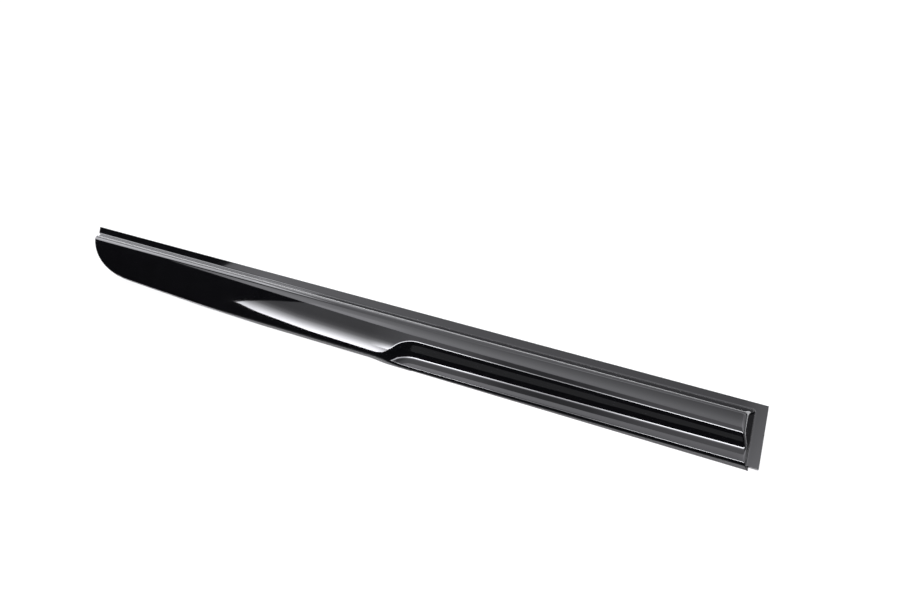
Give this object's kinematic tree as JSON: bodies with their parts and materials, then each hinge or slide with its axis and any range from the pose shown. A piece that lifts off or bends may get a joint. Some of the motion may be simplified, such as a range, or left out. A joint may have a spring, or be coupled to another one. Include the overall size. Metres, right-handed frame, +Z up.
{
  "type": "window rain deflector",
  "caption": "Long gloss-black stick-on rain deflector for a side window: domed visor with a pressed-in lower shelf, rounded tip, and taped flanges along the top edge and rear end.",
  "frame": {"origin": "centre of the part's box, on the surface that it lies on", "axes": "+X from the rounded front tip to the square rear end, +Y from the lip to the top edge, +Z up, away from the taped back"},
  "size_m": [0.864, 0.07, 0.018],
  "materials": {
    "black_acrylic": "polished, high gloss",
    "foam_tape": "matte closed-cell foam"
  },
  "bodies": {
    "root": {"visor": "black_acrylic", "top_tape": "foam_tape", "rear_tape": "foam_tape"}
  },
  "joints": []
}
